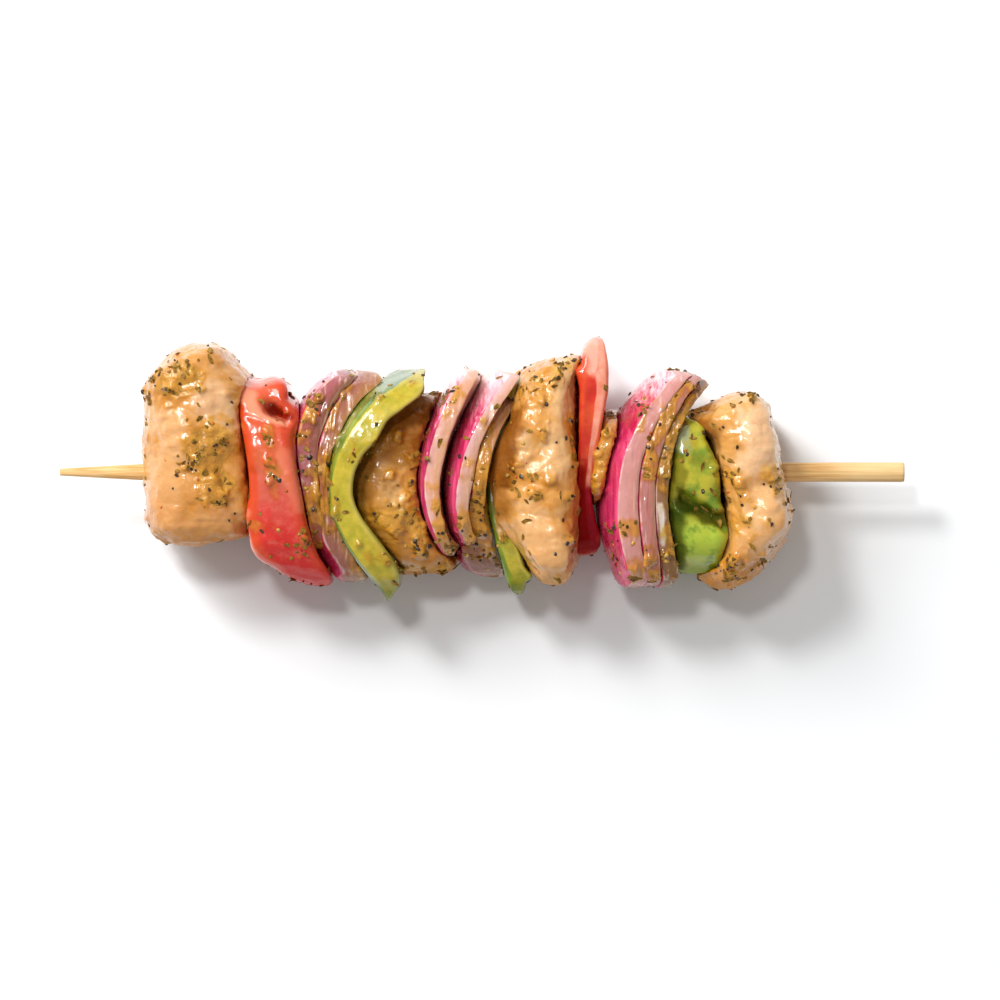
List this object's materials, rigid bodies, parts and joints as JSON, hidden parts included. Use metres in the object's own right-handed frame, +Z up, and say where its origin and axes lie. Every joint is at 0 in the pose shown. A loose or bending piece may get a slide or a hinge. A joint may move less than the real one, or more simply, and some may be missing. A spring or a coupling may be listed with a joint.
{
  "type": "chicken kebab skewer",
  "caption": "Raw marinated chicken kebab with red onion and green and red pepper on a bamboo stick, lying on its side.",
  "frame": {"origin": "under the middle of the whole kebab, on the plane it lies on", "axes": "+X along the stick from its point to its blunt end, +Z up"},
  "size_m": [0.203, 0.0628, 0.0447],
  "materials": {
    "bamboo": "matt, fine grain",
    "chicken": "wet, marinated",
    "onion": "wet, marinated",
    "green_pepper": "glossy, wet",
    "red_pepper": "glossy, wet"
  },
  "bodies": {
    "root": {"stick": "bamboo", "chicken_1": "chicken", "chicken_2": "chicken", "chicken_3": "chicken", "chicken_4": "chicken", "chicken_scrap": "chicken", "onion_1a": "onion", "onion_1b": "onion", "onion_2": "onion", "onion_3a": "onion", "onion_3b": "onion", "onion_4a": "onion", "onion_4b": "onion", "onion_4c": "onion", "green_pepper_1": "green_pepper", "green_pepper_2": "green_pepper", "green_pepper_3": "green_pepper", "red_pepper_1": "red_pepper", "red_pepper_2": "red_pepper"}
  },
  "joints": []
}
